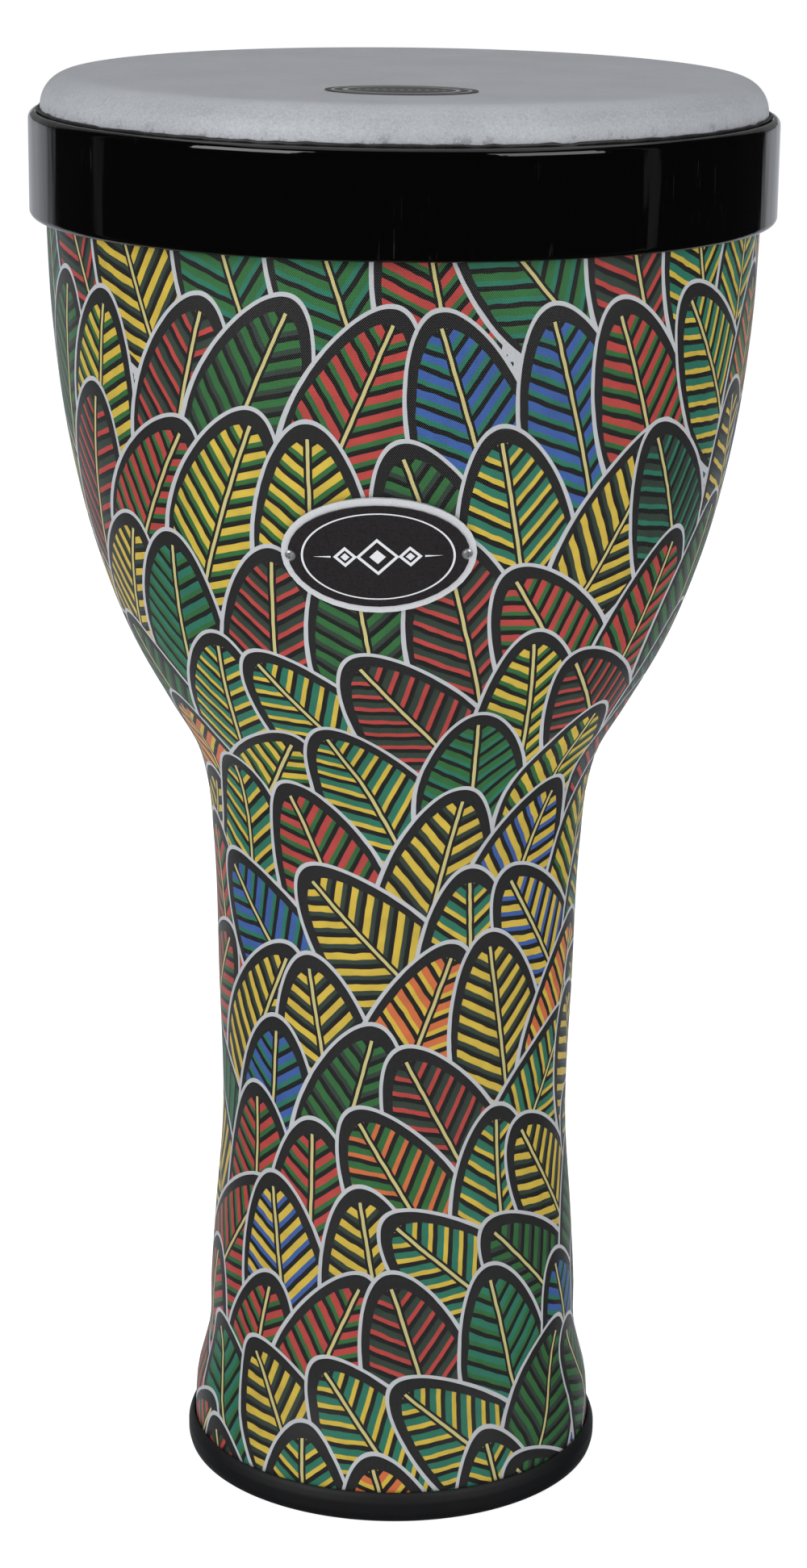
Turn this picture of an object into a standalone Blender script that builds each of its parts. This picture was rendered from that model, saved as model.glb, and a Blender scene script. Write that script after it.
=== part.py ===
"""Goblet drum (darbuka) with a bonded synthetic head, as separate closed pieces.

Metres, +Z up. The drum stands on its rubber foot ring, with the origin at the centre of the base.
The badge faces -Y. The constants are in millimetres, and MM turns them into metres.
"""

import math

import bmesh
import bpy
from mathutils import Matrix, Vector

MM = 0.001
SEGMENTS = 48  # sides of every turned piece
GAP = 0.3  # clearance between touching pieces

# Overall sizes
HEIGHT = 440.0
HEAD_R = 107.9
BAND_R = 111.4
FOOT_R = 66.2

# Outline of the printed cover: a smooth curve through the stem's stations, then the bowl's formula
STEM = (
    (4.0, 63.9),
    (14.0, 63.8),
    (26.0, 62.8),
    (38.0, 59.4),
    (52.0, 58.9),
    (80.0, 57.2),
    (110.0, 54.9),
    (165.0, 56.0),
    (208.0, 57.6),
    (224.0, 59.3),
    (236.0, 62.6),
    (244.0, 66.6),
)
BOWL_R = 106.9  # girth radius at the bowl's widest level
BOWL_TOP_Z = 425.0
BOWL_DEPTH = 222.4
BOWL_POWER_IN = 2.545  # how soon the wall turns inwards
BOWL_POWER_OUT = 1.8925  # how round the lower bowl is
BOWL_FROM_Z = STEM[-1][0]

# Wall build-up, from the outside in
COVER_T = 0.9
SHELL_T = 5.0
SHELL_FOOT_Z = 4.3
JOINT_Z = 238.0  # bonded joint between the moulded stem and the moulded bowl
COVER_TOP_Z = 403.6
SHELL_TOP_Z = 412.0
COVER_LEVELS = (14, 24, 32, 39, 56, 80, 110, 160, 206, 224, 236, 250, 270, 296, 330, 366)
INNER_LEVELS = (16, 38, 64, 110, 190, 224, 240, 262, 296, 340)

# Head, its hoop and the ring that it bears on
HEAD_T = 0.8
SHOULDER_R = 9.6
SHOULDER_STEPS = 6
COLLAR_FOOT_Z = 404.6
HOOP_T = 0.7
HOOP_TOP_Z = 411.7
BEARING_INNER_R = 96.4
BEARING_CREST_R = 98.6
BEARING_RELIEF = 7.0  # height of the chamfer inside the crest

# Rim band and the sealing bead between it and the head
BAND_FOOT_Z = 398.1
BAND_TOP_Z = 428.8
BAND_T = 3.1
BAND_ROUND = 2.2
BAND_LIP_R = 107.3
BAND_LIP_T = 2.4
BEAD_W = 1.1

# Rubber foot ring, a channel that hugs the lower edge of the shell
FOOT_TOP_Z = 9.8
FOOT_INNER_R = 54.8
FOOT_INNER_TOP_Z = 8.0

# Badge: an oval plate with a dark inlay, held by two screws
BADGE_Z = 314.8
BADGE_HALF = (27.6, 17.6)
BADGE_TILT = math.radians(2.0)
PLATE_BACK = 0.5  # clearance behind the plate, past the flats of the turned cover
PLATE_T = 1.0
INLAY_HALF = (25.5, 15.5)
INLAY_T = 0.4
SCREW_X = 24.9
SCREW_HEAD_R = 1.4
SCREW_HEAD_H = 0.8
SHANK_R = 0.9
SHANK_LENGTH = 8.0
HOLE_R = 1.2
CROSS_ARM = (1.7, 0.42, 0.5)  # length, width and depth of a recess arm

# Oval mark on the head
MARK_HALF = (21.6, 14.0)
MARK_X = 3.0
MARK_Y = -61.0
MARK_T = 0.2
MARK_GAP = 0.1


def material(name, colour, roughness, metallic=0.0):
    made = bpy.data.materials.new(name)
    made.use_nodes = True
    shader = made.node_tree.nodes["Principled BSDF"]
    shader.inputs["Base Color"].default_value = (*colour, 1.0)
    shader.inputs["Roughness"].default_value = roughness
    shader.inputs["Metallic"].default_value = metallic
    return made


def clear_scene():
    for old in list(bpy.data.objects):
        bpy.data.objects.remove(old)


def add_object(name, mesh, finish, parent):
    made = bpy.data.objects.new(name, mesh)
    bpy.context.scene.collection.objects.link(made)
    if finish:
        mesh.materials.append(finish)
    made.parent = parent
    return made


def finish_mesh(name, bm, sharp_deg=30.0):
    """The bmesh as a mesh in metres: merged, facing out and smooth except at its edges."""
    bmesh.ops.remove_doubles(bm, verts=bm.verts, dist=1e-4)
    bmesh.ops.recalc_face_normals(bm, faces=bm.faces)
    bmesh.ops.scale(bm, vec=Vector((MM, MM, MM)), verts=bm.verts)
    mesh = bpy.data.meshes.new(name)
    bm.to_mesh(mesh)
    bm.free()
    mesh.shade_smooth()
    mesh.set_sharp_from_angle(angle=math.radians(sharp_deg))
    return mesh


# ---- outline -------------------------------------------------------------------------------


def stem_radius(z):
    """Cubic through the stem's stations, with slopes that never overshoot them."""
    zs = [station[0] for station in STEM]
    rs = [station[1] for station in STEM]
    steps = [(rs[i + 1] - rs[i]) / (zs[i + 1] - zs[i]) for i in range(len(zs) - 1)]
    slopes = [steps[0]]
    for before, after in zip(steps, steps[1:]):
        slopes.append(2 * before * after / (before + after) if before * after > 0 else 0.0)
    slopes.append(bowl_slope(BOWL_FROM_Z))
    i = max(k for k in range(len(zs) - 1) if zs[k] <= z or k == 0)
    width = zs[i + 1] - zs[i]
    t = (z - zs[i]) / width
    return (
        rs[i] * (1 + 2 * t) * (1 - t) ** 2
        + slopes[i] * width * t * (1 - t) ** 2
        + rs[i + 1] * t * t * (3 - 2 * t)
        + slopes[i + 1] * width * t * t * (t - 1)
    )


def bowl_radius(z):
    depth = max(BOWL_TOP_Z - z, 0.0) / BOWL_DEPTH
    return BOWL_R * (1 - depth**BOWL_POWER_IN) ** (1 / BOWL_POWER_OUT)


def bowl_slope(z):
    return (bowl_radius(z + 0.5) - bowl_radius(z - 0.5)) / 1.0


def outline(z):
    """Radius of the cover's outer face at height z."""
    return stem_radius(z) if z < BOWL_FROM_Z else bowl_radius(z)


# ---- turned pieces --------------------------------------------------------------------------


def turned(name, section, finish, parent):
    """A closed section of (radius, z) points turned about Z. Points on the axis become a pole."""
    bm = bmesh.new()
    corners = [bm.verts.new((r, 0.0, z)) for r, z in section]
    edges = [bm.edges.new((a, b)) for a, b in zip(corners, corners[1:])]
    if section[0][0] > 0.0:
        edges.append(bm.edges.new((corners[-1], corners[0])))
    bmesh.ops.spin(
        bm,
        geom=corners + edges,
        axis=(0.0, 0.0, 1.0),
        cent=(0.0, 0.0, 0.0),
        angle=2 * math.pi,
        steps=SEGMENTS,
        use_merge=True,
    )
    return add_object(name, finish_mesh(name, bm), finish, parent)


def wall_section(low, high, outer_in, thickness, outer_levels, inner_levels):
    """Section of a wall whose outer face is the outline less outer_in."""
    outer = [z for z in (low, *outer_levels, high) if low <= z <= high]
    inner = [z for z in (high, *reversed(inner_levels), low) if low <= z <= high]
    points = [(outline(z) - outer_in, z) for z in outer]
    return points + [(outline(z) - outer_in - thickness, z) for z in inner]


def quarter(centre, radius, start_deg, end_deg, steps):
    """Points on an arc, from start to end, ends included."""
    turns = [math.radians(start_deg + (end_deg - start_deg) * i / steps) for i in range(steps + 1)]
    return [(centre[0] + radius * math.cos(t), centre[1] + radius * math.sin(t)) for t in turns]


def make_shell(parent, finish):
    """The moulded stem and the moulded bowl that is bonded to its top edge. It returns the bowl."""
    skin_depth = COVER_T + GAP
    stem = wall_section(SHELL_FOOT_Z, JOINT_Z, skin_depth, SHELL_T, COVER_LEVELS, INNER_LEVELS)
    turned("shell_stem", stem, finish, parent)
    bowl = wall_section(
        JOINT_Z + GAP, SHELL_TOP_Z, skin_depth, SHELL_T, COVER_LEVELS, INNER_LEVELS
    )
    return turned("shell_bowl", bowl, finish, parent)


def make_cover(parent, finish):
    section = wall_section(
        SHELL_FOOT_Z, COVER_TOP_Z, 0.0, COVER_T, COVER_LEVELS, COVER_LEVELS
    )
    return turned("printed_cover", section, finish, parent)


def make_head(parent, finish):
    """Film cap: flat playing area, rounded shoulder and a collar that goes down inside the band."""
    centre = (HEAD_R - SHOULDER_R, HEIGHT - SHOULDER_R - MARK_GAP - MARK_T)
    outer = [(0.0, centre[1] + SHOULDER_R)]
    outer += quarter(centre, SHOULDER_R, 90, 0, SHOULDER_STEPS) + [(HEAD_R, COLLAR_FOOT_Z)]
    inner = [(HEAD_R - HEAD_T, COLLAR_FOOT_Z)]
    inner += quarter(centre, SHOULDER_R - HEAD_T, 0, 90, SHOULDER_STEPS)
    inner.append((0.0, centre[1] + SHOULDER_R - HEAD_T))
    return turned("drum_head", outer + inner, finish, parent)


def make_hoop(parent, finish):
    outer_r = HEAD_R - HEAD_T - GAP
    section = [
        (outer_r, COLLAR_FOOT_Z),
        (outer_r, HOOP_TOP_Z),
        (outer_r - HOOP_T, HOOP_TOP_Z),
        (outer_r - HOOP_T, COLLAR_FOOT_Z),
    ]
    return turned("head_hoop", section, finish, parent)


def make_bearing_ring(parent, finish):
    """Ring on the shell's top edge, rounded outside so that the film turns over it."""
    centre = (HEAD_R - SHOULDER_R, HEIGHT - SHOULDER_R - MARK_GAP - MARK_T)
    radius = SHOULDER_R - HEAD_T - GAP
    foot_z = SHELL_TOP_Z + GAP
    section = [(BEARING_INNER_R, foot_z)]
    section.append((BEARING_INNER_R, centre[1] + radius - BEARING_RELIEF))
    section.append((BEARING_CREST_R - 0.6, centre[1] + radius))
    section += quarter(centre, radius, 90, 0, SHOULDER_STEPS)
    section.append((centre[0] + radius, foot_z))
    return turned("bearing_ring", section, finish, parent)


def make_band(parent, finish):
    """Glossy rim band: a wall with a rounded top, a small inner chamfer and a lip below."""
    inner_r = BAND_R - BAND_T
    section = [(BAND_LIP_R, BAND_FOOT_Z), (BAND_R - 1.0, BAND_FOOT_Z), (BAND_R, BAND_FOOT_Z + 1.2)]
    corner = (BAND_R - BAND_ROUND, BAND_TOP_Z - BAND_ROUND)
    section += quarter(corner, BAND_ROUND, 0, 90, 5)
    section += [(inner_r, BAND_TOP_Z - 1.5), (inner_r, BAND_FOOT_Z + BAND_LIP_T)]
    section.append((BAND_LIP_R, BAND_FOOT_Z + BAND_LIP_T))
    return turned("rim_band", section, finish, parent)


def make_bead(parent, finish):
    """Soft sealing bead in the groove between the band's chamfer and the head's collar."""
    r = HEAD_R + GAP
    z = BAND_TOP_Z
    section = [
        (r, z - 0.8),
        (r + 0.6, z + 0.2),
        (r + 0.5, z + 0.6),
        (r, z + 0.9),
    ]
    return turned("sealing_bead", section, finish, parent)


def make_foot(parent, finish):
    hug_r = outline(FOOT_TOP_Z) + GAP
    inner_wall_r = outline(SHELL_FOOT_Z) - COVER_T - GAP - SHELL_T - GAP
    section = [
        (FOOT_INNER_R + 1.0, 0.0),
        (FOOT_R - 1.7, 0.0),
        (FOOT_R - 0.6, 0.8),
        (FOOT_R, 3.0),
        (FOOT_R, 6.6),
        (FOOT_R - 0.7, 8.8),
        (FOOT_R - 1.4, FOOT_TOP_Z),
        (hug_r, FOOT_TOP_Z),
        (hug_r, SHELL_FOOT_Z - GAP),
        (inner_wall_r, SHELL_FOOT_Z - GAP),
        (inner_wall_r, FOOT_INNER_TOP_Z),
        (FOOT_INNER_R, FOOT_INNER_TOP_Z),
        (FOOT_INNER_R, 1.0),
    ]
    return turned("foot_ring", section, finish, parent)


# ---- badge ----------------------------------------------------------------------------------


def on_bowl(across, up, out):
    """Point on the badge's curved sheet: across and up from its centre, out from the cover."""
    turned_x = across * math.cos(BADGE_TILT) - up * math.sin(BADGE_TILT)
    turned_y = across * math.sin(BADGE_TILT) + up * math.cos(BADGE_TILT)
    slope = (outline(BADGE_Z + 1.0) - outline(BADGE_Z - 1.0)) / 2.0
    lean = math.atan(slope)
    z = BADGE_Z + turned_y * math.cos(lean)
    slope_here = (outline(z + 1.0) - outline(z - 1.0)) / 2.0
    size = math.hypot(1.0, slope_here)
    r = outline(z) + out / size
    angle = turned_x / outline(BADGE_Z)
    return Vector((r * math.sin(angle), -r * math.cos(angle), z - out * slope_here / size))


def oval_sheet(name, half, back, thickness, finish, parent, spokes=36, rings=3):
    """An oval plate bent to the bowl, from concentric ovals on its front and its back."""
    bm = bmesh.new()
    layers = []
    for out in (back + thickness, back):
        loops = []
        for ring in range(1, rings + 1):
            share = ring / rings
            loop = []
            for k in range(spokes):
                turn = 2 * math.pi * k / spokes
                place = on_bowl(half[0] * share * math.cos(turn), half[1] * share * math.sin(turn), out)
                loop.append(bm.verts.new(place))
            loops.append(loop)
        layers.append((bm.verts.new(on_bowl(0.0, 0.0, out)), loops))
    for centre, loops in layers:
        for k in range(spokes):
            after = (k + 1) % spokes
            bm.faces.new((centre, loops[0][k], loops[0][after]))
            for inner, outer in zip(loops, loops[1:]):
                bm.faces.new((inner[k], outer[k], outer[after], inner[after]))
    front, rear = layers[0][1][-1], layers[1][1][-1]
    for k in range(spokes):
        after = (k + 1) % spokes
        bm.faces.new((front[k], rear[k], rear[after], front[after]))
    return add_object(name, finish_mesh(name, bm), finish, parent)


def screw_frame(side):
    """Matrix in millimetres whose +Z leaves the bowl at the screw on this side."""
    seat = on_bowl(side * SCREW_X, 0.0, PLATE_BACK + PLATE_T)
    outwards = (on_bowl(side * SCREW_X, 0.0, PLATE_BACK + PLATE_T + 1.0) - seat).normalized()
    along = (on_bowl(side * SCREW_X, 1.0, PLATE_BACK + PLATE_T) - seat).normalized()
    across = along.cross(outwards).normalized()
    along = outwards.cross(across)
    turn = Matrix((across, along, outwards)).transposed()
    return Matrix.Translation(seat) @ turn.to_4x4()


def drill(name, frame, radius, low, high, parent):
    """A round cutter along the screw's axis, from low to high."""
    bm = bmesh.new()
    bmesh.ops.create_cone(
        bm,
        cap_ends=True,
        segments=16,
        radius1=radius,
        radius2=radius,
        depth=high - low,
        matrix=frame @ Matrix.Translation((0.0, 0.0, (low + high) / 2)),
    )
    return as_cutter(add_object(name, finish_mesh(name, bm), None, parent))


def as_cutter(cutter):
    cutter.hide_render = True
    cutter.display_type = "WIRE"
    return cutter


def cut(target, cutter):
    modifier = target.modifiers.new(cutter.name, "BOOLEAN")
    modifier.operation = "DIFFERENCE"
    modifier.solver = "EXACT"
    modifier.object = cutter


def cross_recess(name, frame, parent):
    """Two crossed arms, joined into one plus-shaped cutter for the screw head."""
    length, width, depth = CROSS_ARM
    half_l, half_w = length / 2, width / 2
    corners = []
    for quarter_turn in range(4):
        turn = Matrix.Rotation(quarter_turn * math.pi / 2, 3, "Z")
        for x, y in ((half_w, half_w), (half_l, half_w), (half_l, -half_w)):
            corners.append(turn @ Vector((x, y, 0.0)))
    ordered = sorted(corners, key=lambda c: (math.atan2(c.y, c.x), c.length))
    bm = bmesh.new()
    low_z, high_z = SCREW_HEAD_H - depth, SCREW_HEAD_H + 0.5
    low = [bm.verts.new(frame @ Vector((c.x, c.y, low_z))) for c in ordered]
    high = [bm.verts.new(frame @ Vector((c.x, c.y, high_z))) for c in ordered]
    bm.faces.new(low)
    bm.faces.new(high)
    for k in range(len(low)):
        after = (k + 1) % len(low)
        bm.faces.new((low[k], low[after], high[after], high[k]))
    return as_cutter(add_object(name, finish_mesh(name, bm), None, parent))


def make_screw(name, frame, finish, parent):
    """Pan-head screw: shank from inside the shell's wall, domed head on the plate."""
    head_foot = 0.1
    section = [(0.0, -SHANK_LENGTH), (SHANK_R, -SHANK_LENGTH + 1.2), (SHANK_R, head_foot)]
    section += [(SCREW_HEAD_R, head_foot), (SCREW_HEAD_R, SCREW_HEAD_H * 0.55)]
    section += [(SCREW_HEAD_R * 0.72, SCREW_HEAD_H * 0.92), (0.0, SCREW_HEAD_H)]
    bm = bmesh.new()
    corners = [bm.verts.new((r, 0.0, z)) for r, z in section]
    edges = [bm.edges.new((a, b)) for a, b in zip(corners, corners[1:])]
    bmesh.ops.spin(
        bm,
        geom=corners + edges,
        axis=(0.0, 0.0, 1.0),
        cent=(0.0, 0.0, 0.0),
        angle=2 * math.pi,
        steps=20,
        use_merge=True,
    )
    bmesh.ops.transform(bm, matrix=frame, verts=bm.verts)
    screw = add_object(name, finish_mesh(name, bm), finish, parent)
    cut(screw, cross_recess(name + "_recess", frame, parent))
    return screw


def make_badge(parent, bowl, cover, finishes):
    plate = oval_sheet(
        "badge_plate", BADGE_HALF, PLATE_BACK, PLATE_T, finishes["badge_rim"], parent
    )
    inlay = oval_sheet(
        "badge_inlay", INLAY_HALF, PLATE_BACK + PLATE_T + 0.1, INLAY_T, finishes["badge_face"], parent
    )
    for side, word in ((-1, "left"), (1, "right")):
        frame = screw_frame(side)
        make_screw("badge_screw_" + word, frame, finishes["screw"], parent)
        hole = drill("hole_" + word, frame, HOLE_R, -SHANK_LENGTH - 4.0, 2.0, parent)
        notch = drill("notch_" + word, frame, SCREW_HEAD_R + GAP, -0.05, 3.0, parent)
        for target in (plate, cover, bowl):
            cut(target, hole)
        cut(inlay, notch)


def make_mark(parent, finish):
    """Thin oval mark on the playing area, nearer to the badge's side."""
    bm = bmesh.new()
    low_z, high_z = HEIGHT - MARK_T, HEIGHT
    rims = []
    for z in (low_z, high_z):
        rim = []
        for k in range(SEGMENTS):
            turn = 2 * math.pi * k / SEGMENTS
            x = MARK_X + MARK_HALF[0] * math.cos(turn)
            y = MARK_Y + MARK_HALF[1] * math.sin(turn)
            rim.append(bm.verts.new((x, y, z)))
        rims.append(rim)
    for rim in rims:
        bm.faces.new(rim)
    for k in range(SEGMENTS):
        after = (k + 1) % SEGMENTS
        bm.faces.new((rims[0][k], rims[0][after], rims[1][after], rims[1][k]))
    return add_object("head_mark", finish_mesh("head_mark", bm), finish, parent)


def main():
    clear_scene()
    drum = bpy.data.objects.new("drum", None)
    bpy.context.scene.collection.objects.link(drum)
    finishes = {
        "shell": material("moulded_shell", (0.03, 0.03, 0.032), 0.45),
        "cover": material("printed_cloth", (0.28, 0.30, 0.16), 0.35),
        "head": material("suede_film", (0.36, 0.38, 0.40), 0.6),
        "hoop": material("hoop_metal", (0.6, 0.6, 0.62), 0.35, 1.0),
        "bearing": material("bearing_plastic", (0.08, 0.08, 0.085), 0.5),
        "band": material("gloss_band", (0.004, 0.004, 0.005), 0.06),
        "bead": material("sealing_bead", (0.02, 0.02, 0.022), 0.5),
        "foot": material("foot_rubber", (0.015, 0.015, 0.018), 0.55),
        "badge_rim": material("badge_rim", (0.6, 0.62, 0.64), 0.35, 0.8),
        "badge_face": material("badge_face", (0.01, 0.01, 0.011), 0.3),
        "screw": material("screw_nickel", (0.65, 0.65, 0.66), 0.3, 1.0),
        "mark": material("printed_mark", (0.05, 0.05, 0.055), 0.5),
    }
    bowl = make_shell(drum, finishes["shell"])
    cover = make_cover(drum, finishes["cover"])
    make_head(drum, finishes["head"])
    make_hoop(drum, finishes["hoop"])
    make_bearing_ring(drum, finishes["bearing"])
    make_band(drum, finishes["band"])
    make_bead(drum, finishes["bead"])
    make_foot(drum, finishes["foot"])
    make_badge(drum, bowl, cover, finishes)
    make_mark(drum, finishes["mark"])


main()
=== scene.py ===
"""Studio scene of a goblet drum: printed cloth cover, grey film head, gloss band, rubber foot, badge.

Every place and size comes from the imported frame. Metres, +Z up; the badge faces -Y.
Lengths inside the finishes are in millimetres, which to_mm turns the coordinates into.
"""

import math

import bmesh
import bpy
import numpy as np
from mathutils import Matrix, Vector


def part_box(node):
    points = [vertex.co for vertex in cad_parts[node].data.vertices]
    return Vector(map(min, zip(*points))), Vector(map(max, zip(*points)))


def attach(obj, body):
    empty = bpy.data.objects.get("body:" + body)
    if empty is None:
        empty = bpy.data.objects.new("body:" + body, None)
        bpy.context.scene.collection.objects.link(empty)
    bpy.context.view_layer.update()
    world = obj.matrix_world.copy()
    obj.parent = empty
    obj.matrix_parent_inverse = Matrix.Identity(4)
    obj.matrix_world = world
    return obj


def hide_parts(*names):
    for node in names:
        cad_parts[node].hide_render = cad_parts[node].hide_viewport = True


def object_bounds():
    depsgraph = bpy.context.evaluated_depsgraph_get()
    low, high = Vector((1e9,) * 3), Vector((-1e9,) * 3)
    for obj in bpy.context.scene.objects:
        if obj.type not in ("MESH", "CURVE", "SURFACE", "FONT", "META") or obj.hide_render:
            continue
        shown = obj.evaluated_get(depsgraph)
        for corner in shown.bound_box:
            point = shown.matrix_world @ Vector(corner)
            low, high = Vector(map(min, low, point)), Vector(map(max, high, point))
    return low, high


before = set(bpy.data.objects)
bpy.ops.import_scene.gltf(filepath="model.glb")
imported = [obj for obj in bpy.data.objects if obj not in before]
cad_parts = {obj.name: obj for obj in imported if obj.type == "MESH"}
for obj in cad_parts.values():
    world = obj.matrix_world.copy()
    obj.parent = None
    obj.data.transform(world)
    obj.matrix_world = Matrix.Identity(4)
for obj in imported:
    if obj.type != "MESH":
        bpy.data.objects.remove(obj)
CAD_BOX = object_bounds()

MM = 0.001
ROUND_SIDES = 240  # sides of a turned piece all the way round
PANELS = 12  # cloth panels round the drum
STEM_ROW = 27.0  # height of a row of printed leaves on the stem
BOWL_ROW = 37.0  # the same at the bowl's widest level
LEAF_PITCH = 30.0  # distance from leaf to leaf round the drum
LEAF_HALF = (18.5, 35.0)  # half width and half length of a leaf
LEAF_TAPER = 3.6  # the half width shrinks by this towards a leaf's top and grows towards its foot
LEAF_SHIFT = (8.0, 10.0)  # whole range in which a leaf strays from its place, across and up
LEAN_RANGE = 1.45  # angle, in radians, between the most left and the most right leaning leaf
UPRIGHT_AT = 0.42  # random number, from 0 to 1, at which a leaf stands upright
VEIN_PITCH = 6.4  # distance between a leaf's side veins
VEIN_WIDTH = 1.9  # width of a side vein, measured along the midrib
MIDRIB = (1.3, 0.5)  # half widths of the dark midrib and of the pale line along it
BORDER = (3.0, 2.9)  # how far in the dark border reaches at a leaf's foot, and how much farther at its top
OUTLINE = 1.4  # width of a leaf's pale outline
SECOND_INK_FROM = 0.58  # share of the pitch after which a leaf shows its second ink
VEIN_SLOPE = 0.8  # side veins rise this much for each millimetre from the midrib
LEVELS_PER_ROW = 7  # levels of the cover's mesh in a row of leaves
STEM_R = 62.0  # rows start to grow at this radius
BOWL_R = 104.0  # and reach their full height at this one
THREAD = 0.58  # distance between the threads of the cloth
COVER_THICK = 0.9  # thickness of the cloth skin
NO_LEAF = 99.0  # length that stands for a place no leaf covers, outside every leaf
ROW_SLOTS = 24  # places in the table that gives each row its number of leaves
MOST_LEAVES = 64.0  # number of leaves that the table's white stands for
SHARP = math.radians(32.0)  # edges that turn by more than this are sharp


# ---- arithmetic on sockets --------------------------------------------------------------------


class Value:
    """A node's output that adds, multiplies and compares like a number."""

    def __init__(self, tree, socket):
        self.tree = tree
        self.socket = socket

    def other(self, name):
        """Another output of the same node."""
        return Value(self.tree, self.socket.node.outputs[name])

    def math(self, operation, *others):
        return self.tree.node("ShaderNodeMath", {"operation": operation}, (self, *others))

    def __add__(self, other):
        return self.math("ADD", other)

    def __radd__(self, other):
        return self.math("ADD", other)

    def __sub__(self, other):
        return self.math("SUBTRACT", other)

    def __rsub__(self, other):
        return self.tree.node("ShaderNodeMath", {"operation": "SUBTRACT"}, (other, self))

    def __mul__(self, other):
        return self.math("MULTIPLY", other)

    def __rmul__(self, other):
        return self.math("MULTIPLY", other)

    def __truediv__(self, other):
        return self.math("DIVIDE", other)

    def __rtruediv__(self, other):
        return self.tree.node("ShaderNodeMath", {"operation": "DIVIDE"}, (other, self))

    def __neg__(self):
        return self.math("MULTIPLY", -1.0)

    def __lt__(self, other):
        return self.math("LESS_THAN", other)

    def __gt__(self, other):
        return self.math("GREATER_THAN", other)

    def __and__(self, other):
        return self.math("MULTIPLY", other)

    def __or__(self, other):
        return self.math("MAXIMUM", other)

    def floor(self):
        return self.math("FLOOR")

    def abs(self):
        return self.math("ABSOLUTE")

    def root(self):
        return self.math("SQRT")

    def sin(self):
        return self.math("SINE")

    def cos(self):
        return self.math("COSINE")

    def most(self, other):
        return self.math("MAXIMUM", other)

    def wrapped(self, size):
        return self.math("FLOORED_MODULO", size)

    def between(self, low, high):
        """0 below low, 1 above high and an even slope between them."""
        return self.tree.node(
            "ShaderNodeMapRange", {"clamp": True}, {"Value": self, "From Min": low, "From Max": high}
        )


class Nodes:
    """A node tree, with one method that makes any node in it."""

    def __init__(self, tree):
        self.tree = tree

    def node(self, kind, settings=None, sockets=None, output=0):
        made = self.tree.nodes.new(kind)
        for name, given in (settings or {}).items():
            if name == "stops":
                set_stops(made.color_ramp, given)
            else:
                setattr(made, name, given)
        pairs = sockets.items() if isinstance(sockets, dict) else enumerate(sockets or ())
        for name, given in pairs:
            if isinstance(given, Value):
                self.tree.links.new(given.socket, made.inputs[name])
            else:
                made.inputs[name].default_value = given
        return Value(self, made.outputs[output])

    def mix(self, share, first, second):
        """The first colour, turning into the second as share goes from 0 to 1."""
        settings = {"data_type": "RGBA", "clamp_factor": True}
        return self.node("ShaderNodeMix", settings, {0: share, 6: first, 7: second}, 2)

    def pick(self, share, first, second):
        """The same for two vectors."""
        return self.node("ShaderNodeMix", {"data_type": "VECTOR"}, {0: share, 4: first, 5: second}, 1)

    def vector(self, x, y, z):
        return self.node("ShaderNodeCombineXYZ", None, (x, y, z))

    def parts(self, vector):
        x = self.node("ShaderNodeSeparateXYZ", None, (vector,))
        return x, x.other("Y"), x.other("Z")

    def bands(self, place, *stops):
        """A colour for each stretch of place, with hard edges. A stop is (where it starts, colour)."""
        return self.node("ShaderNodeValToRGB", {"stops": stops}, (place,))

    def noise(self, vector, size, detail=2.0, roughness=0.5):
        """Smooth noise from 0 to 1, with patches of about this many millimetres."""
        sockets = {"Vector": vector, "Scale": 1.0 / size, "Detail": detail, "Roughness": roughness}
        return self.node("ShaderNodeTexNoise", None, sockets)


def set_stops(ramp, stops):
    ramp.interpolation = "CONSTANT"
    while len(ramp.elements) < len(stops):
        ramp.elements.new(1.0)
    for element, (place, colour) in zip(ramp.elements, stops):
        element.position = place
        element.color = colour


def colour(red, green, blue):
    """A display colour, from 0 to 255, as the linear colour that a shader works in."""
    linear = []
    for part in (red, green, blue):
        share = part / 255.0
        linear.append(share / 12.92 if share <= 0.04045 else ((share + 0.055) / 1.055) ** 2.4)
    return (*linear, 1.0)


def grey(level):
    return colour(level, level, level)


# ---- finishes ---------------------------------------------------------------------------------


def new_finish(name):
    """A material with one Principled shader: its node tools, the shader and the place in mm."""
    made = bpy.data.materials.new(name)
    made.use_nodes = True
    shader = made.node_tree.nodes["Principled BSDF"]
    nodes = Nodes(made.node_tree)
    place = nodes.node("ShaderNodeTexCoord", output="Object")
    to_mm = {"operation": "SCALE"}
    place = nodes.node("ShaderNodeVectorMath", to_mm, {"Vector": place, "Scale": 1.0 / MM})
    return made, nodes, shader, place


def set_shader(nodes, shader, **given):
    """Sets the shader's sockets. A name's underscores stand for spaces."""
    for name, value in given.items():
        socket = shader.inputs[name.replace("_", " ")]
        if isinstance(value, Value):
            nodes.tree.links.new(value.socket, socket)
        else:
            socket.default_value = value


def bump(nodes, height, depth_mm, strength=1.0):
    sockets = {"Strength": strength, "Distance": depth_mm * MM, "Height": height}
    return nodes.node("ShaderNodeBump", None, sockets)


INK_SHARE = 0.62  # how much of a colour's brightness the cloth and its coat leave


def ink(red, green, blue):
    return (*(part * INK_SHARE for part in colour(red, green, blue)[:3]), 1.0)


CHARCOAL = ink(30, 30, 32)
PALE_LINE = ink(214, 217, 222)
BLACK = ink(18, 18, 18)
YELLOW = ink(242, 208, 62)
GREEN = ink(44, 126, 58)
DARK_GREEN = ink(50, 74, 60)
TEAL = ink(26, 136, 108)
BLUE = ink(54, 104, 190)
RED = ink(212, 66, 58)
ORANGE = ink(240, 122, 58)
CREAM = ink(226, 214, 140)


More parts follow.
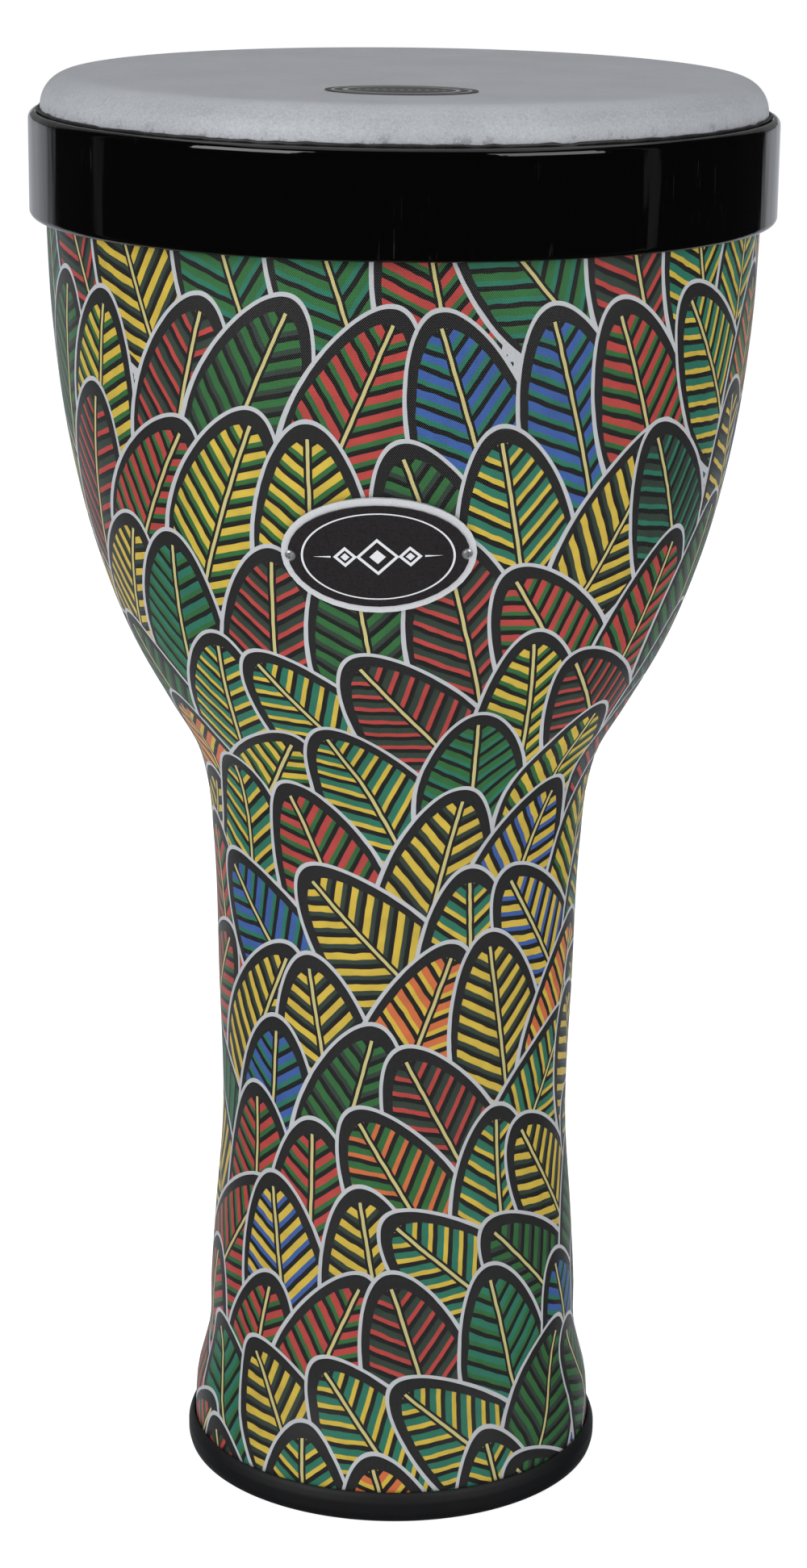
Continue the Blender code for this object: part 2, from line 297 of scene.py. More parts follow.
def leaves_in_row(row, profile):
    """How many leaves fit round the drum in this row."""
    radius = np.interp(row + 0.5, profile["rows"], profile["r"])
    return round(2 * math.pi * radius / (LEAF_PITCH * MM))


def row_table(nodes, row, profile):
    """The same as a socket, from a table of hard-edged bands."""
    stops = []
    for slot in range(ROW_SLOTS):
        share = leaves_in_row(slot - 1, profile) / MOST_LEAVES
        stops.append((slot / ROW_SLOTS, (share, share, share, 1.0)))
    count = nodes.bands((row + 1.5) / ROW_SLOTS, *stops)
    return (nodes.parts(count)[0] * MOST_LEAVES + 0.5).floor()


def printed_leaf(nodes, rows, turn, radius, profile):
    """The uppermost leaf at a place, as (across, up, seed) in its own millimetres.

    A lower row lies over the row above it, and in a row each leaf lies over its left neighbour.
    A place that no leaf covers keeps a length outside every leaf.
    """
    found = nodes.vector(0.0, NO_LEAF, 0.5)
    lowest = rows.floor()
    row_height = radius.between(STEM_R, BOWL_R) * (BOWL_ROW - STEM_ROW) + STEM_ROW
    for above in (1, 0, -1):
        row = lowest + above
        count = row_table(nodes, row, profile)
        white = {"noise_dimensions": "1D"}
        shift = nodes.node("ShaderNodeTexWhiteNoise", white, {"W": row * 3.7 + 0.3}) * 0.3 + row * 0.5
        along = turn * count + shift
        nearest = (along + 0.5).floor()
        pitch = radius * (2 * math.pi) / count
        rise = (rows - row - 0.5) * row_height
        for side in (-1, 0, 1):
            column = nearest + side
            key = nodes.vector(column.wrapped(count), row, 0.0)
            random = nodes.node("ShaderNodeTexWhiteNoise", {"noise_dimensions": "2D"}, {"Vector": key})
            lean, across, up = nodes.parts(random.other("Color"))
            du = (along - column) * pitch - (across - 0.5) * LEAF_SHIFT[0]
            dv = rise - (up - 0.5) * LEAF_SHIFT[1]
            tilt = (lean - UPRIGHT_AT) * LEAN_RANGE
            sine, cosine = tilt.sin(), tilt.cos()
            u = du * cosine + dv * sine
            v = dv * cosine - du * sine
            inside = egg(u, v) < 1.0
            leaf = nodes.vector(u, v, lean)
            found = nodes.pick(inside, found, leaf)
    return found


def egg(u, v):
    """How far out a place is in a leaf: 0 at its middle and 1 at its edge."""
    q = v / LEAF_HALF[1]
    p = u / (LEAF_HALF[0] - LEAF_TAPER * q)
    return (p * p + q * q).root()


def leaf_ground(nodes, seed, tone):
    """One plain ink for each leaf, picked by its random number."""
    plain = nodes.bands(
        seed,
        (0.0, GREEN),
        (0.22, YELLOW),
        (0.42, RED),
        (0.56, TEAL),
        (0.68, ORANGE),
        (0.76, DARK_GREEN),
        (0.95, BLUE),
    )
    return nodes.mix((tone - 0.35) * 0.5, plain, BLACK)


def leaf_colour(nodes, leaf, place):
    """A plain leaf: pale outline, dark border, two inks, a midrib and slanting side veins."""
    u, v, seed = nodes.parts(leaf)
    reach = egg(u, v)
    flat_u = u / (LEAF_HALF[0] * LEAF_HALF[0])
    flat_v = v / (LEAF_HALF[1] * LEAF_HALF[1])
    edge = (1.0 - reach) * reach / (flat_u * flat_u + flat_v * flat_v).root().most(0.0001)
    tone = nodes.noise(place, 6.0, 3.0)
    wobble = (nodes.noise(place, 5.0, 1.0) - 0.5) * 0.9
    from_rib = (u + wobble * 0.5).abs()
    veins = (v - from_rib * VEIN_SLOPE + wobble).wrapped(VEIN_PITCH)
    pick = (seed * 7.31).wrapped(1.0)
    paint = leaf_ground(nodes, pick, tone)
    second = leaf_ground(nodes, (pick + 0.37).wrapped(1.0), tone)
    paint = nodes.mix(veins > VEIN_PITCH * SECOND_INK_FROM, paint, second)
    paint = nodes.mix(veins < VEIN_WIDTH, paint, BLACK)
    paint = nodes.mix(from_rib < MIDRIB[0], paint, BLACK)
    paint = nodes.mix(from_rib < MIDRIB[1], paint, CREAM)
    border = (v / LEAF_HALF[1]).between(-0.1, 0.8) * BORDER[1] + BORDER[0]
    paint = nodes.mix(edge < border + wobble, paint, CHARCOAL)
    return nodes.mix(edge < OUTLINE + wobble * 0.35, paint, PALE_LINE)


def printed_cloth(profile):
    """Plain leaf print on woven cloth, under a semi-gloss coat."""
    made, nodes, shader, place = new_finish("printed_cloth")
    x, y, _ = nodes.parts(place)
    rows = nodes.node("ShaderNodeAttribute", {"attribute_name": "rows"}, output="Fac")
    angle = x.math("ARCTAN2", -y)
    turn = angle / (2 * math.pi)
    radius = (x * x + y * y).root()
    leaf = printed_leaf(nodes, rows, turn, radius, profile)
    paint = leaf_colour(nodes, leaf, place)
    gap_noise = nodes.noise(place, 3.2, 2.0)
    gap = nodes.mix(gap_noise > 0.52, PALE_LINE, CHARCOAL)
    gap = nodes.mix(gap_noise > 0.6, gap, BLUE)
    uncovered = nodes.parts(leaf)[1] > LEAF_HALF[1]
    paint = nodes.mix(uncovered, paint, gap)
    count = row_table(nodes, rows.floor(), profile)
    warp = (angle * count * round(LEAF_PITCH / THREAD)).sin()
    weft = (rows * (2 * math.pi * STEM_ROW / THREAD)).sin()
    weave = warp * weft
    crossing = {"Value": weave, "From Min": 0.3, "To Min": 0.0, "To Max": 0.12}
    thread = nodes.node("ShaderNodeMapRange", None, crossing)
    paint = nodes.mix(thread, paint, grey(235))
    blotch = nodes.noise(place, 40.0, 3.0)
    paint = nodes.mix((blotch - 0.45) * 0.35, paint, grey(15))
    set_shader(
        nodes,
        shader,
        Base_Color=paint,
        Roughness=0.42 + weave * 0.03 + (blotch - 0.5) * 0.1,
        Normal=bump(nodes, weave, 0.05, 0.5),
        Specular_IOR_Level=0.3,
        Coat_Weight=0.12,
        Coat_Roughness=0.22,
    )
    return made


def suede_film():
    """Grey coated film: fine speckle, faint clouds and small scuffs."""
    made, nodes, shader, place = new_finish("suede_film")
    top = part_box("drum_head")[1].z / MM
    up = nodes.parts(place)[2]
    shoulder = (top - up).between(0.2, 3.0)
    low_edge = (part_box("sealing_bead")[1].z / MM + 3.0 - up).between(0.0, 3.0)
    speckle = nodes.noise(place, 0.55, 2.0, 0.7)
    cloud = nodes.noise(place, 26.0, 4.0, 0.6)
    scuff = nodes.noise(place, 5.0, 5.0, 0.75)
    streak = nodes.noise(place, 1.1, 3.0, 0.6)
    drift = nodes.noise(place, 60.0, 2.0)
    paint = nodes.mix(cloud.between(0.3, 0.7), colour(158, 161, 167), colour(168, 171, 177))
    paint = nodes.mix(speckle.between(0.35, 0.75) * 0.5, paint, colour(196, 199, 204))
    paint = nodes.mix(scuff.between(0.56, 0.72) * 0.35, paint, colour(138, 141, 147))
    paint = nodes.mix(streak.between(0.5, 0.75) * shoulder * 0.35, paint, colour(196, 199, 202))
    paint = nodes.mix(streak.between(0.5, 0.28) * shoulder * 0.25, paint, colour(134, 137, 142))
    paint = nodes.mix(drift.between(0.35, 0.75) * shoulder * 0.3, paint, colour(136, 138, 142))
    paint = nodes.mix(low_edge * (scuff > 0.56) * 0.5, paint, colour(96, 94, 92))
    set_shader(
        nodes,
        shader,
        Base_Color=paint,
        Roughness=0.5 + (speckle - 0.5) * 0.25,
        Normal=bump(nodes, speckle + scuff * 0.5, 0.08, 0.4),
    )
    return made


def gloss_band():
    """Black gloss: upright ripples that bend what it mirrors, small dull patches and scratches."""
    made, nodes, shader, place = new_finish("gloss_band")
    x, y, z = nodes.parts(place)
    round_it = nodes.vector(x, y, z * 0.12)
    ripple = nodes.noise(round_it, 16.0, 3.0)
    dust = nodes.noise(place, 1.6, 4.0, 0.8)
    scratch = nodes.noise(nodes.vector(x, y, z * 0.05), 0.9, 2.0)
    worn = nodes.noise(place, 34.0, 2.0).between(0.6, 0.72)
    marks = (scratch > 0.66) * worn
    paint = nodes.mix(dust.between(0.66, 0.8) * 0.2, grey(3), grey(52))
    paint = nodes.mix(marks * 0.35, paint, grey(64))
    set_shader(
        nodes,
        shader,
        Base_Color=paint,
        Roughness=0.05 + dust.between(0.5, 0.9) * 0.12 + marks * 0.2,
        Normal=bump(nodes, ripple, 0.7, 0.5),
    )
    return made


def plain_finish(name, dark, light, size, roughness, depth, metallic=0.0, spread=0.12):
    """Moulded or rolled surface: two shades in fine grain, with uneven gloss and a light texture."""
    made, nodes, shader, place = new_finish(name)
    grain = nodes.noise(place, size, 3.0, 0.65)
    wear = nodes.noise(place, size * 14.0, 3.0)
    paint = nodes.mix(grain.between(0.3, 0.7), dark, light)
    set_shader(
        nodes,
        shader,
        Base_Color=paint,
        Roughness=roughness + (wear - 0.5) * spread,
        Metallic=metallic,
        Normal=bump(nodes, grain, depth, 0.5),
    )
    return made


def oval_place(nodes, place, low, high, upright, turned=0.0):
    """Across and up from the middle of an oval piece, each 1 at its edge."""
    x, y, z = nodes.parts(place)
    middle = (low + high) / (2 * MM)
    half = (high - low) / (2 * MM)
    across = x - middle.x
    up = (z - middle.z) if upright else (y - middle.y)
    u = across * math.cos(turned) + up * math.sin(turned)
    v = up * math.cos(turned) - across * math.sin(turned)
    return u / half.x, v / (half.z if upright else half.y)


def badge_face():
    """Black oval face with a pale ornament: a fine oval line, three lozenges and tapering bars."""
    made, nodes, shader, place = new_finish("badge_face")
    low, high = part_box("badge_inlay")
    u, v = oval_place(nodes, place, low, high, True, math.radians(2.0))
    grain = nodes.noise(place, 0.7, 3.0)
    reach = (u * u + v * v).root()
    line = (reach - 0.84).abs() < 0.012
    lozenge = None
    for across, size in ((0.0, 0.36), (-0.36, 0.2), (0.36, 0.2)):
        far = (u - across).abs() * 1.5 + v.abs()
        shape = ((far < size) & (far > size - 0.07)) | (far < size * 0.38)
        lozenge = shape if lozenge is None else (lozenge | shape)
    bar = (v.abs() < (0.72 - u.abs()) * 0.09) & (u.abs() > 0.52)
    ornament = line | lozenge | bar
    paint = nodes.mix(grain.between(0.3, 0.7), colour(32, 29, 31), colour(42, 38, 41))
    paint = nodes.mix(ornament, paint, colour(206, 208, 212))
    set_shader(
        nodes,
        shader,
        Base_Color=paint,
        Roughness=0.3 + (grain - 0.5) * 0.15,
        Normal=bump(nodes, ornament, 0.06, 0.6),
        Coat_Weight=0.2,
        Coat_Roughness=0.1,
    )
    return made


def printed_mark():
    """Dark printed oval on the head, with two fine ovals and a row of dots."""
    made, nodes, shader, place = new_finish("printed_mark")
    low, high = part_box("head_mark")
    u, v = oval_place(nodes, place, low, high, False)
    reach = (u * u + v * v).root()
    dot_u = (u * 9.0 + 0.5).wrapped(1.0) - 0.5
    dots = ((dot_u * dot_u + v * v * 30.0).root() < 0.28) & (u.abs() < 0.62)
    lines = ((reach - 0.9).abs() < 0.02) | ((reach - 0.74).abs() < 0.03)
    speckle = nodes.noise(place, 0.55, 2.0, 0.7)
    paint = nodes.mix(speckle.between(0.3, 0.8), grey(58), grey(86))
    paint = nodes.mix(lines | dots, paint, grey(150))
    set_shader(
        nodes,
        shader,
        Base_Color=paint,
        Roughness=0.55 + (speckle - 0.5) * 0.2,
        Normal=bump(nodes, speckle, 0.05, 0.4),
    )
    return made


# ---- turned pieces ----------------------------------------------------------------------------


def turning_tree():
    """Geometry nodes that turn an object's own section, a chain of points in the XZ plane, about Z."""
    tree = bpy.data.node_groups.new("turned_piece", "GeometryNodeTree")
    face = tree.interface
    face.new_socket("Section", in_out="INPUT", socket_type="NodeSocketGeometry")
    face.new_socket("Segments", in_out="INPUT", socket_type="NodeSocketInt")
    for name in ("Start", "Sweep", "Unevenness"):
        face.new_socket(name, in_out="INPUT", socket_type="NodeSocketFloat")
    face.new_socket("Finish", in_out="INPUT", socket_type="NodeSocketMaterial")
    face.new_socket("Piece", in_out="OUTPUT", socket_type="NodeSocketGeometry")
    nodes = Nodes(tree)
    section = nodes.node("NodeGroupInput")
    segments, start = section.other("Segments"), section.other("Start")
    sweep, uneven = section.other("Sweep"), section.other("Unevenness")
    points = nodes.node("GeometryNodeAttributeDomainSize", {"component": "MESH"}, (section,))
    columns = segments + 1.0
    sheet = nodes.node(
        "GeometryNodeMeshGrid", None, {"Vertices X": points, "Vertices Y": columns}
    )
    index = nodes.node("GeometryNodeInputIndex")
    level = ((index + 0.5) / columns).floor()
    column = index - level * columns
    where = nodes.node("GeometryNodeInputPosition")
    sampled = nodes.node(
        "GeometryNodeSampleIndex",
        {"data_type": "FLOAT_VECTOR", "domain": "POINT"},
        {"Geometry": section, "Value": where, "Index": level},
    )
    angle = start + sweep * column / segments
    turned = nodes.node(
        "ShaderNodeVectorRotate", {"rotation_type": "Z_AXIS"}, {"Vector": sampled, "Angle": angle}
    )
    rough = nodes.node("ShaderNodeTexNoise", None, {"Vector": turned, "Scale": 220.0, "Detail": 3.0})
    push = 1.0 + (rough - 0.5) * uneven
    pushed = nodes.node(
        "ShaderNodeVectorMath", {"operation": "SCALE"}, {"Vector": turned, "Scale": push}
    )
    shaped = nodes.node("GeometryNodeSetPosition", None, {"Geometry": sheet, "Position": pushed})
    merged = nodes.node("GeometryNodeMergeByDistance", None, {"Geometry": shaped, "Distance": 1e-6})
    smooth = nodes.node("GeometryNodeSetShadeSmooth", None, {"Geometry": merged})
    real = nodes.node("GeometryNodeRealizeInstances", None, {"Geometry": smooth})
    done = nodes.node(
        "GeometryNodeSetMaterial", None, {"Geometry": real, "Material": section.other("Finish")}
    )
    out = tree.nodes.new("NodeGroupOutput")
    tree.links.new(done.socket, out.inputs[0])
    return tree


def turned_mesh(
    name, tree, section, finish, start=0.0, sweep=2 * math.pi, segments=ROUND_SIDES, uneven=0.0
):
    """The plain mesh of a section turned about Z, or of a part of the full turn."""
    chain = bpy.data.meshes.new(name + "_section")
    points = [(r, 0.0, z) for r, z in section]
    chain.from_pydata(points, [(i, i + 1) for i in range(len(points) - 1)], [])
    former = bpy.data.objects.new(name + "_former", chain)
    bpy.context.scene.collection.objects.link(former)
    modifier = former.modifiers.new("Turned", "NODES")
    modifier.node_group = tree
    inputs = {
        "Segments": segments,
        "Start": start,
        "Sweep": sweep,
        "Unevenness": uneven,
        "Finish": finish,
    }
    for item in tree.interface.items_tree:
        if item.in_out == "INPUT" and item.name in inputs:
            modifier[item.identifier] = inputs[item.name]
    graph = bpy.context.evaluated_depsgraph_get()
    mesh = bpy.data.meshes.new_from_object(former.evaluated_get(graph))
    mesh.name = name
    bpy.data.objects.remove(former)
    return mesh


def face_out(mesh, sharp=SHARP):
    """Closed and merged, with its faces pointing out, old stored shading gone and its edges sharp."""
    bm = bmesh.new()
    bm.from_mesh(mesh)
    bmesh.ops.remove_doubles(bm, verts=bm.verts, dist=1e-6)
    bmesh.ops.recalc_face_normals(bm, faces=bm.faces)
    bm.to_mesh(mesh)
    bm.free()
    for name in ("custom_normal", "sharp_edge", "sharp_face"):
        stored = mesh.attributes.get(name)
        if stored:
            mesh.attributes.remove(stored)
    mesh.shade_smooth()
    mesh.set_sharp_from_angle(angle=sharp)


def add_piece(name, mesh, finish, slot, *nodes):
    """A finished piece that stands for these nodes of the frame."""
    piece = bpy.data.objects.new(name, mesh)
    bpy.context.scene.collection.objects.link(piece)
    mesh.materials.clear()
    mesh.materials.append(finish)
    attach(piece, "root")
    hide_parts(*nodes)
    return piece


def section_of(node):
    """A turned node's section, as (radius, height) points in order, read where it crosses +X."""
    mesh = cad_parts[node].data
    keys = [tuple(round(c, 6) for c in v.co) for v in mesh.vertices]
    flat = {key for key in keys if abs(key[1]) < 2e-6 and key[0] > -1e-6}
    links = {key: set() for key in flat}
    for edge in mesh.edges:
        a, b = (keys[i] for i in edge.vertices)
        if a in flat and b in flat and a != b:
            links[a].add(b)
            links[b].add(a)
    start = min(flat, key=lambda key: (len(links[key]), key[2]))
    chain, here, before = [start], start, None
    while True:
        after = [k for k in sorted(links[here]) if k != before and (k not in chain or k == start)]
        if not after or (after[0] == start and len(chain) < 3):
            break
        before, here = here, after[0]
        if here == start:
            break
        chain.append(here)
    return [(max(x, 0.0), z) for x, _, z in chain]


def eased(section, radius):
    """The section with each corner rounded, by at most this radius, and closed if it is a ring."""
    closed = section[0][0] > 1e-5
    points = [Vector(p) for p in section]
    count = len(points)
    out = []
    for i, here in enumerate(points):
        if not closed and i in (0, count - 1):
            out.append(here)
            continue
        before, after = points[i - 1], points[(i + 1) % count]
        reach_a = min(radius, 0.45 * (before - here).length)
        reach_b = min(radius, 0.45 * (after - here).length)
        a = here + (before - here).normalized() * reach_a
        b = here + (after - here).normalized() * reach_b
        for t in (0.0, 0.25, 0.5, 0.75, 1.0):
            out.append(a * (1 - t) ** 2 + here * (2 * t * (1 - t)) + b * t * t)
    if closed:
        out.append(out[0])
    return [tuple(p) for p in out]


def add_turned(name, node, tree, finish, slot, radius=0.0004, uneven=0.0, capped=False):
    """A turned node made again with rounder sides and eased edges. A capped one closes on the axis."""
    section = section_of(node)
    if capped:
        section = [(0.0, section[0][1]), *section, (0.0, section[-1][1])]
    mesh = turned_mesh(name, tree, eased(section, radius), finish, uneven=uneven)
    face_out(mesh)
    return add_piece(name, mesh, finish, slot, node)


# ---- printed cover ----------------------------------------------------------------------------


def smooth_profile(node):
    """The node's smooth outer outline by level: height, radius, arc, rows of leaves below, and slope."""
    outline = {}
    for r, z in section_of(node):
        outline[z] = max(r, outline.get(z, 0.0))
    zs = np.array(sorted(outline))
    rs = np.array([outline[z] for z in zs])
    steps = np.diff(rs) / np.diff(zs)
    slopes = np.zeros(len(zs))
    slopes[0], slopes[-1] = steps[0], steps[-1]
    for i in range(1, len(zs) - 1):
        a, b = zs[i] - zs[i - 1], zs[i + 1] - zs[i]
        slopes[i] = (steps[i - 1] * b + steps[i] * a) / (a + b)
    fine = np.linspace(zs[0], zs[-1], 1201)
    at = np.clip(np.searchsorted(zs, fine, side="right") - 1, 0, len(zs) - 2)
    width = zs[at + 1] - zs[at]
    t = (fine - zs[at]) / width
    radius = rs[at] * (1 + 2 * t) * (1 - t) ** 2 + slopes[at] * width * t * (1 - t) ** 2
    radius += rs[at + 1] * t * t * (3 - 2 * t) + slopes[at + 1] * width * t * t * (t - 1)
    radius = np.minimum(radius, rs.max())
    arc = np.concatenate([[0.0], np.cumsum(np.hypot(np.diff(fine), np.diff(radius)))])
    share = np.clip((radius / MM - STEM_R) / (BOWL_R - STEM_R), 0.0, 1.0)
    row_height = (STEM_ROW + share * (BOWL_ROW - STEM_ROW)) * MM
    rows = np.concatenate([[0.0], np.cumsum(np.diff(arc) / row_height[1:])])
    return {"z": fine, "r": radius, "arc": arc, "rows": rows, "lean": np.gradient(radius, fine)}


def cover_section(profile, thickness):
    """Outer and inner outline at even steps of the arc, as one closed ring of points."""
    levels = int(profile["rows"][-1] * LEVELS_PER_ROW)
    arcs = np.linspace(0.0, profile["arc"][-1], levels + 1)
    zs = np.interp(arcs, profile["arc"], profile["z"])
    rs = np.interp(arcs, profile["arc"], profile["r"])
    outer = list(zip(rs, zs))
    inner = [(r - thickness, z) for r, z in reversed(outer)]
    return outer + inner


def close_ends(mesh):
    """Fills both cut ends of a part turn with one flat face each."""
    bm = bmesh.new()
    bm.from_mesh(mesh)
    bmesh.ops.remove_doubles(bm, verts=bm.verts, dist=1e-6)
    open_edges = [e for e in bm.edges if e.is_boundary]
    bmesh.ops.holes_fill(bm, edges=open_edges, sides=0)
    bmesh.ops.recalc_face_normals(bm, faces=bm.faces)
    bm.to_mesh(mesh)
    bm.free()


def true_normals(mesh, profile):
    """Shades the curved faces by the outline's own slope, so that neighbouring panels meet unseen."""
    mesh.shade_smooth()
    normals = [None] * len(mesh.loops)
    for face in mesh.polygons:
        centre = face.center
        radial = Vector((centre.x, centre.y, 0.0)).normalized()
        outwards = face.normal.dot(radial)
        curved = abs(outwards) > 0.3 and len(face.vertices) == 4
        for loop in face.loop_indices:
            co = mesh.vertices[mesh.loops[loop].vertex_index].co
            if curved:
                lean = float(np.interp(co.z, profile["z"], profile["lean"]))
                radius = math.hypot(co.x, co.y)
                up = Vector((co.x / radius, co.y / radius, -lean)).normalized()
                normals[loop] = up if outwards > 0 else -up
            else:
                normals[loop] = face.normal.copy()
    mesh.normals_split_custom_set(normals)


def add_rows(mesh, profile):
    """Stores how many rows of leaves lie below each point."""
    heights = np.zeros(len(mesh.vertices) * 3)
    mesh.vertices.foreach_get("co", heights)
    rows = np.interp(heights[2::3], profile["z"], profile["rows"])
    stored = mesh.attributes.new("rows", "FLOAT", "POINT")
    stored.data.foreach_set("value", rows.astype(np.float32))


def make_cover(tree):
    """The cloth cover, as upright panels that together stand for the printed cover."""
    profile = smooth_profile("printed_cover")
    finish = printed_cloth(profile)
    section = cover_section(profile, COVER_THICK * MM)
    section.append(section[0])
    sweep = 2 * math.pi / PANELS
    sides = ROUND_SIDES // PANELS
    for k in range(PANELS):
        name = f"cover_panel_{k + 1:02d}"
        start = -math.pi / 2 + (k - 0.5) * sweep
        mesh = turned_mesh(name, tree, section, finish, start, sweep, sides)
        close_ends(mesh)
        add_rows(mesh, profile)
        true_normals(mesh, profile)
        add_piece(name, mesh, finish, "printed_cloth", "printed_cover")


# ---- badge and mark ---------------------------------------------------------------------------


def add_copy(name, node, finish, slot, bevel=0.0, sharp=SHARP):
    """A merged copy of a node, with its edges eased."""
    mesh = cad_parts[node].data.copy()
    mesh.name = name
    face_out(mesh, sharp)
    piece = add_piece(name, mesh, finish, slot, node)
    if bevel:
        modifier = piece.modifiers.new("Eased edge", "BEVEL")
        modifier.width = bevel
        modifier.segments = 3
        modifier.limit_method = "ANGLE"
        modifier.angle_limit = math.radians(40.0)
        modifier.harden_normals = True
    return piece


def make_badge():
    rim = plain_finish("badge_rim", colour(186, 188, 192), colour(204, 206, 210), 0.4, 0.38, 0.02, 0.1)
    nickel = plain_finish("screw_nickel", colour(176, 178, 181), colour(208, 209, 210), 0.5, 0.34, 0.02, 0.75)
    add_copy("badge_rim_plate", "badge_plate", rim, "badge_rim", 0.00035)
    add_copy("badge_black_face", "badge_inlay", badge_face(), "badge_face", 0.00015)
    for side in ("left", "right"):
        add_copy("screw_" + side, "badge_screw_" + side, nickel, "screw_nickel", sharp=math.radians(28.0))


# ---- studio -----------------------------------------------------------------------------------


CAMERA_AWAY = 2.5  # distance from the drum's axis, in drum heights
CAMERA_UP = 1.2045  # height above the floor, in drum heights
CAMERA_PITCH = 0.274  # looking down; this and the next two are in radians
CAMERA_YAW = 0.0017
CAMERA_ROLL = 0.0107
CAMERA_TURN = math.radians(3.6)  # how far round the drum, from the badge's side towards +X
LENS = 83.95  # focal length, in millimetres
STUDIO_COS, STUDIO_SIN = 0.991, 0.132  # of the studio's turn, the same way round as the camera's


def make_camera(height):
    data = bpy.data.cameras.new("camera")
    data.lens = LENS
    data.sensor_width = 36.0
    data.clip_end = 60.0
    camera = bpy.data.objects.new("camera", data)
    bpy.context.scene.collection.objects.link(camera)
    flat = math.cos(CAMERA_PITCH)
    ahead = Vector((math.sin(CAMERA_YAW) * flat, math.cos(CAMERA_YAW) * flat, -math.sin(CAMERA_PITCH)))
    right = ahead.cross(Vector((0.0, 0.0, 1.0))).normalized()
    up = right.cross(ahead)
    tilted = right * math.cos(CAMERA_ROLL) + up * math.sin(CAMERA_ROLL)
    raised = tilted.cross(ahead)
    turn = Matrix((tilted, raised, -ahead)).transposed().to_4x4()
    stand = Matrix.Translation((0.0, -CAMERA_AWAY * height, CAMERA_UP * height))
    camera.matrix_world = Matrix.Rotation(CAMERA_TURN, 4, "Z") @ stand @ turn
    bpy.context.scene.camera = camera


def add_softbox(name, place, target, size, power):
    data = bpy.data.lights.new(name, "AREA")
    data.shape = "RECTANGLE"
    data.size, data.size_y = size
    data.energy = power
    lamp = bpy.data.objects.new(name, data)
    bpy.context.scene.collection.objects.link(lamp)
    lamp.location = place
    lamp.rotation_euler = (Vector(target) - Vector(place)).to_track_quat("-Z", "Y").to_euler()


def make_world():
    """White to look at and soft grey as light. Gloss mirrors it dark, with a bright rear and two strips."""
    world = bpy.data.worlds.new("studio")
    bpy.context.scene.world = world
    world.use_nodes = True
    nodes = Nodes(world.node_tree)
    shader = world.node_tree.nodes["Background"]
    heading = nodes.node("ShaderNodeTexCoord", output="Generated")
    x, y, z = nodes.parts(heading)
    flat = (x * x + y * y).root().most(0.001)
    ahead = (y * STUDIO_COS - x * STUDIO_SIN) / flat
    side = (x * STUDIO_COS + y * STUDIO_SIN) / flat
    behind = ahead.between(0.70, 0.80)
    far_floor = nodes.mix(z < 0.05, grey(128), (0.56, 0.58, 0.62, 1.0))
    right_strip = ((ahead + 0.235).abs() < 0.04) & (side > 0.0)
    left_strip = ((ahead - 0.33).abs() < 0.03) & (side < 0.0)
    mirrored = nodes.mix(behind, grey(30), far_floor)
    mirrored = nodes.mix(right_strip * 0.5, mirrored, grey(150))
    mirrored = nodes.mix(left_strip * 0.3, mirrored, grey(150))
    rays = nodes.node("ShaderNodeLightPath", output="Is Camera Ray")
    light = nodes.mix(rays.other("Is Glossy Ray"), grey(150), mirrored)
    seen = nodes.mix(rays, light, grey(255))
    nodes.tree.links.new(seen.socket, shader.inputs["Color"])


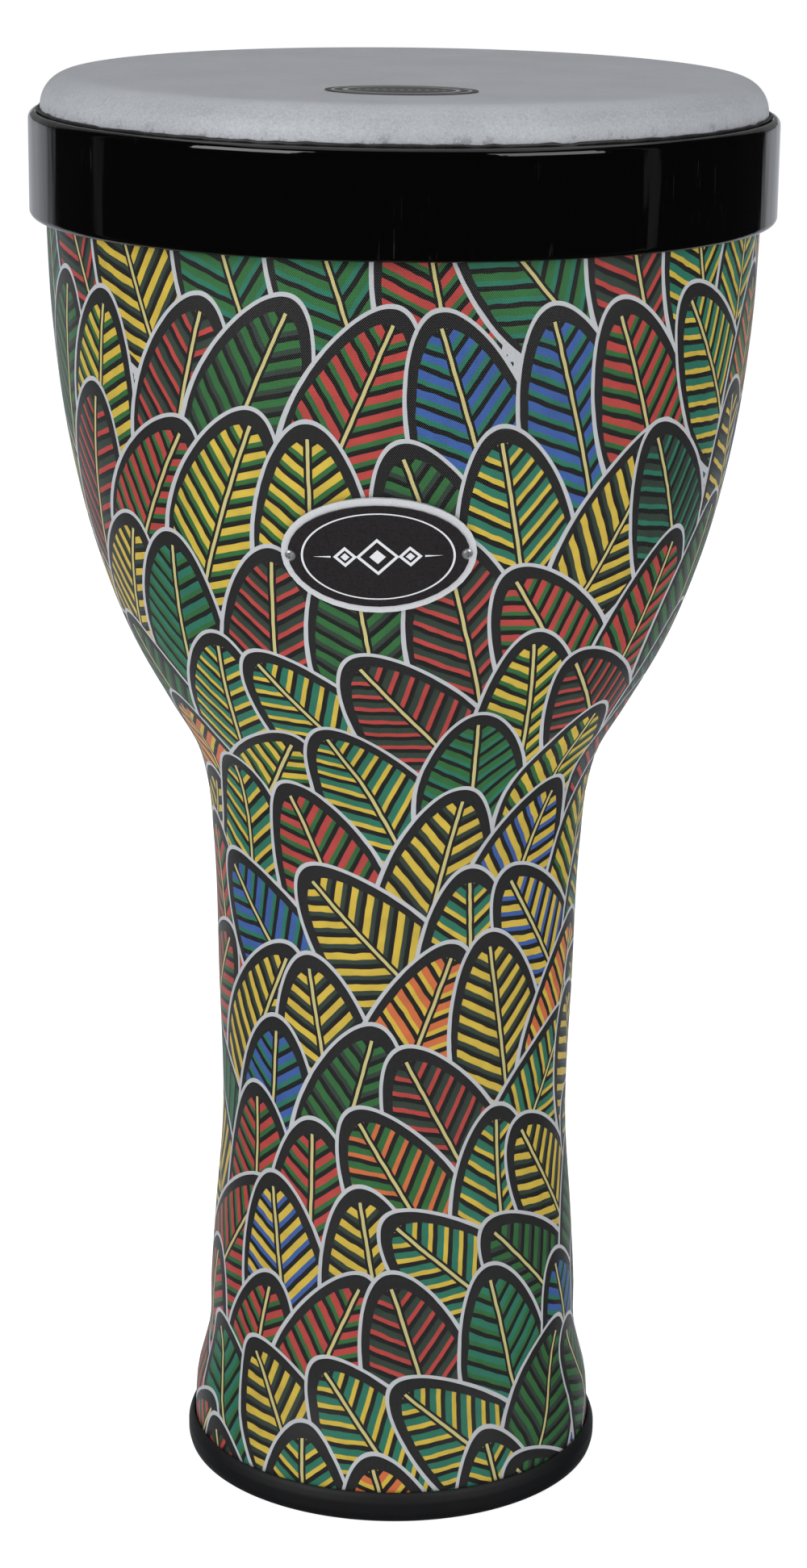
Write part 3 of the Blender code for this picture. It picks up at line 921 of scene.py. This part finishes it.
def make_floor(width):
    """Pale floor that matches the air around it."""
    mesh = bpy.data.meshes.new("floor")
    bm = bmesh.new()
    bmesh.ops.create_circle(bm, cap_ends=True, segments=96, radius=width)
    bm.to_mesh(mesh)
    bm.free()
    floor = bpy.data.objects.new("floor", mesh)
    bpy.context.scene.collection.objects.link(floor)
    made, nodes, shader, place = new_finish("pale_floor")
    mottle = nodes.noise(place, 300.0, 3.0)
    paint = nodes.mix(mottle, grey(208), grey(214))
    glow = {"Emission_Color": grey(232), "Emission_Strength": 1.0}
    set_shader(nodes, shader, Base_Color=paint, Roughness=0.8, **glow)
    mesh.materials.append(made)
    floor.visible_glossy = False


def make_studio(height):
    bpy.context.scene.view_settings.view_transform = "Standard"
    make_world()
    make_floor(12.0)
    middle = (0.0, 0.0, 0.5 * height)
    add_softbox("left_softbox", (-1.5, -1.5, 1.25), middle, (1.3, 1.3), 25.0)
    add_softbox("right_softbox", (1.6, -1.4, 1.2), middle, (1.3, 1.3), 17.5)
    add_softbox("top_softbox", (0.0, 0.3, 2.2), (0.0, 0.0, 0.4), (2.2, 2.2), 12.0)


# ---- the drum ---------------------------------------------------------------------------------


def make_drum():
    """All the pieces. The cover and the bowl are turned whole, without the CAD's screw holes."""
    tree = turning_tree()
    make_cover(tree)
    shell = plain_finish("moulded_shell", grey(38), grey(52), 0.6, 0.5, 0.06)
    add_turned("stem_shell", "shell_stem", tree, shell, "moulded_shell")
    add_turned("bowl_shell", "shell_bowl", tree, shell, "moulded_shell")
    add_turned("film_head", "drum_head", tree, suede_film(), "suede_film", 0.0012, capped=True)
    hoop = plain_finish("hoop_metal", grey(170), grey(188), 0.4, 0.34, 0.02, 1.0)
    add_turned("flesh_hoop", "head_hoop", tree, hoop, "hoop_metal", 0.0002)
    bearing = plain_finish("bearing_plastic", grey(70), grey(84), 0.6, 0.5, 0.05)
    add_turned("edge_ring", "bearing_ring", tree, bearing, "bearing_plastic", 0.001)
    add_turned("gloss_rim_band", "rim_band", tree, gloss_band(), "gloss_band", 0.0007)
    bead = plain_finish("sealing_bead", grey(20), grey(44), 0.8, 0.45, 0.2)
    add_turned("glue_bead", "sealing_bead", tree, bead, "sealing_bead", 0.0002, 0.004)
    rubber = plain_finish("foot_rubber", colour(9, 10, 13), colour(16, 17, 21), 0.5, 0.6, 0.08)
    add_turned("rubber_foot", "foot_ring", tree, rubber, "foot_rubber", 0.0006)
    make_badge()
    add_copy("oval_mark", "head_mark", printed_mark(), "printed_mark")


HEIGHT = CAD_BOX[1].z - CAD_BOX[0].z
make_camera(HEIGHT)
make_studio(HEIGHT)
make_drum()
